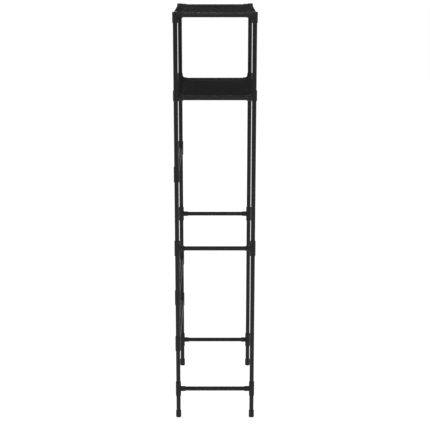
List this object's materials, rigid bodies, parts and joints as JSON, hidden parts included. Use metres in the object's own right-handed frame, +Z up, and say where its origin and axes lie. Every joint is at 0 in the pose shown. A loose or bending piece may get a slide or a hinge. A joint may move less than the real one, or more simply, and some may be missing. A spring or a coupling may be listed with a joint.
{
  "type": "over the toilet storage rack",
  "caption": "Tall free-standing tube rack with plastic connectors and cloth shelves above an open bay that straddles a toilet.",
  "frame": {"origin": "on the floor, at the middle of the rack's plan", "axes": "+Z up, +X across the width with left at -X, and the open front faces -Y; the back cross bars are at +Y"},
  "size_m": [0.53, 0.2972, 1.52],
  "materials": {
    "tube_paint": "satin black powder coat",
    "connector_plastic": "fine-grained matt black moulding",
    "shelf_cloth": "plain-woven black cloth with sewn hems"
  },
  "bodies": {
    "root": {"back_left_bottom_tee": "connector_plastic", "back_left_lower_corner": "connector_plastic", "back_left_middle_tee": "connector_plastic", "back_left_post_1": "tube_paint", "back_left_post_2": "tube_paint", "back_left_post_3": "tube_paint", "back_left_post_4": "tube_paint", "back_left_post_5": "tube_paint", "back_left_post_6": "tube_paint", "back_left_post_7": "tube_paint", "back_left_top_corner": "connector_plastic", "back_lower_rail": "tube_paint", "back_right_bottom_tee": "connector_plastic", "back_right_lower_corner": "connector_plastic", "back_right_middle_tee": "connector_plastic", "back_right_post_1": "tube_paint", "back_right_post_2": "tube_paint", "back_right_post_3": "tube_paint", "back_right_post_4": "tube_paint", "back_right_post_5": "tube_paint", "back_right_post_6": "tube_paint", "back_right_post_7": "tube_paint", "back_right_top_corner": "connector_plastic", "back_top_rail": "tube_paint", "cross_bar_high": "tube_paint", "cross_bar_low": "tube_paint", "cross_bar_mid": "tube_paint", "cross_tees_high": "connector_plastic", "cross_tees_low": "connector_plastic", "cross_tees_mid": "connector_plastic", "feet": "connector_plastic", "front_left_bottom_tee": "connector_plastic", "front_left_lower_corner": "connector_plastic", "front_left_middle_tee": "connector_plastic", "front_left_post_1": "tube_paint", "front_left_post_2": "tube_paint", "front_left_post_3": "tube_paint", "front_left_post_4": "tube_paint", "front_left_top_corner": "connector_plastic", "front_lower_rail": "tube_paint", "front_right_bottom_tee": "connector_plastic", "front_right_lower_corner": "connector_plastic", "front_right_middle_tee": "connector_plastic", "front_right_post_1": "tube_paint", "front_right_post_2": "tube_paint", "front_right_post_3": "tube_paint", "front_right_post_4": "tube_paint", "front_right_top_corner": "connector_plastic", "front_top_rail": "tube_paint", "left_side_bottom_bar": "tube_paint", "left_side_lower_rail": "tube_paint", "left_side_middle_bar": "tube_paint", "left_side_top_rail": "tube_paint", "lower_shelf_cloth": "shelf_cloth", "right_side_bottom_bar": "tube_paint", "right_side_lower_rail": "tube_paint", "right_side_middle_bar": "tube_paint", "right_side_top_rail": "tube_paint", "top_shelf_cloth": "shelf_cloth"}
  },
  "joints": []
}
